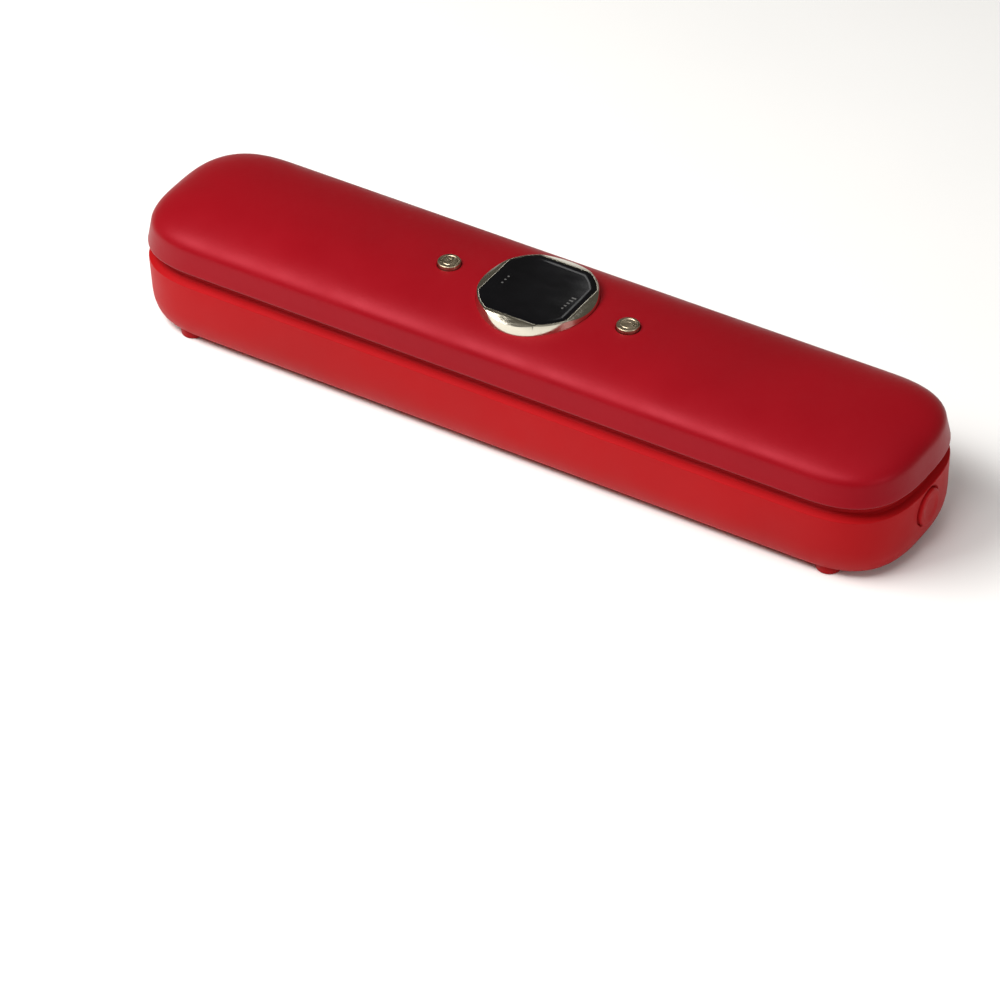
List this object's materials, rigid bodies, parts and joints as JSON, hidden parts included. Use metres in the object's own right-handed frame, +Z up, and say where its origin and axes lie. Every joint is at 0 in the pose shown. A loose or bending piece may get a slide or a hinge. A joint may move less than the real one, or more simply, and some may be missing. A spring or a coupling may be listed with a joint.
{
  "type": "vacuum sealer",
  "caption": "Compact vacuum sealer: long red casing with rounded ends, hinged domed lid with a chrome-framed dark panel and metal push buttons, release buttons in its ends.",
  "frame": {"origin": "on the supporting surface, under the middle of the body", "axes": "+X along the length towards the mains inlet end, -Y towards the side that the bag enters, +Z up"},
  "size_m": [0.3618, 0.078, 0.0598],
  "materials": {
    "lid_plastic": "satin moulded ABS with a faint orange peel",
    "base_plastic": "satin moulded ABS",
    "foot_plastic": "satin",
    "black_plastic": "fine matt",
    "gasket_rubber": "matt foam rubber",
    "silicone": "soft matt silicone",
    "ptfe_cloth": "glass cloth coated with PTFE",
    "heating_alloy": "flat rolled nickel chrome",
    "steel": "turned and plated",
    "chrome": "bright plated",
    "button_nickel": "satin nickel, warm tint",
    "panel_black": "polished",
    "display_black": "smooth",
    "circuit_board": "lacquered",
    "brass": "bright",
    "motor_iron": "laminated and wound",
    "pump_plastic": "moulded",
    "coil_tape": "wound tape",
    "capacitor_sleeve": "shrink sleeve",
    "relay_case": "moulded",
    "wire_cover": "smooth"
  },
  "bodies": {
    "base": {"base_housing": "base_plastic", "base_deck": "base_plastic", "feet": "foot_plastic", "housing_screws": "steel", "heater_bar": "black_plastic", "heating_strip": "heating_alloy", "ptfe_tape": "ptfe_cloth", "strip_terminals": "brass", "lower_gasket": "gasket_rubber", "hinge_pins": "steel", "latch_spring_left": "steel", "latch_spring_right": "steel", "motor_can": "steel", "motor_bushes": "brass", "motor_cradle": "black_plastic", "pump_head": "pump_plastic", "pump_cover": "pump_plastic", "pump_diaphragm": "gasket_rubber", "suction_hose": "silicone", "power_board": "circuit_board", "transformer": "coil_tape", "capacitors": "capacitor_sleeve", "relay": "relay_case", "power_inlet": "black_plastic", "inlet_pins": "steel", "lid_switch": "black_plastic", "wiring": "wire_cover"},
    "lid": {"lid_shell": "lid_plastic", "lid_liner": "lid_plastic", "liner_screws": "steel", "upper_gasket": "gasket_rubber", "pressure_strip": "silicone", "latch_hook_left": "black_plastic", "latch_hook_right": "black_plastic", "panel_frame": "chrome", "panel_glass": "panel_black", "panel_carrier": "black_plastic", "display_module": "display_black", "control_board": "circuit_board", "tact_switches": "black_plastic", "board_screws": "steel"},
    "left_release": {"release_button_left": "base_plastic", "latch_slider_left": "black_plastic"},
    "right_release": {"release_button_right": "base_plastic", "latch_slider_right": "black_plastic"},
    "vacuum_key": {"vacuum_button": "button_nickel"},
    "seal_key": {"seal_button": "button_nickel"},
    "rotor": {"motor_rotor": "motor_iron"},
    "plunger": {"switch_plunger": "silicone"}
  },
  "joints": [
    {"name": "lid_hinge", "type": "hinge", "parent": "base", "child": "lid", "pos_m": [0, 0.0365, 0.0352], "axis": [-1, 0, 0], "range_deg": [0, 68]},
    {"name": "left_release_slide", "type": "slide", "parent": "base", "child": "left_release", "axis": [1, 0, 0], "range_m": [0, 0.0025], "stiffness_N_per_m": 300, "springref_m": -0.0008, "deforming": ["latch_spring_left"]},
    {"name": "right_release_slide", "type": "slide", "parent": "base", "child": "right_release", "axis": [-1, 0, 0], "range_m": [0, 0.0025], "stiffness_N_per_m": 300, "springref_m": -0.0008, "deforming": ["latch_spring_right"]},
    {"name": "vacuum_key_press", "type": "slide", "parent": "lid", "child": "vacuum_key", "axis": [0, 0, -1], "range_m": [0, 0.0008], "stiffness_N_per_m": 400, "springref_m": -0.0004},
    {"name": "seal_key_press", "type": "slide", "parent": "lid", "child": "seal_key", "axis": [0, 0, -1], "range_m": [0, 0.0008], "stiffness_N_per_m": 400, "springref_m": -0.0004},
    {"name": "rotor_spin", "type": "hinge", "parent": "base", "child": "rotor", "pos_m": [-0.1, 0.0185, 0.018], "axis": [1, 0, 0], "continuous": true},
    {"name": "plunger_slide", "type": "slide", "parent": "base", "child": "plunger", "axis": [0, 0, 1], "range_m": [0, 0.001]}
  ],
  "couplings": [
    {"joint": "plunger_slide", "follows": "lid_hinge", "m_per_rad": 0.0008}
  ]
}
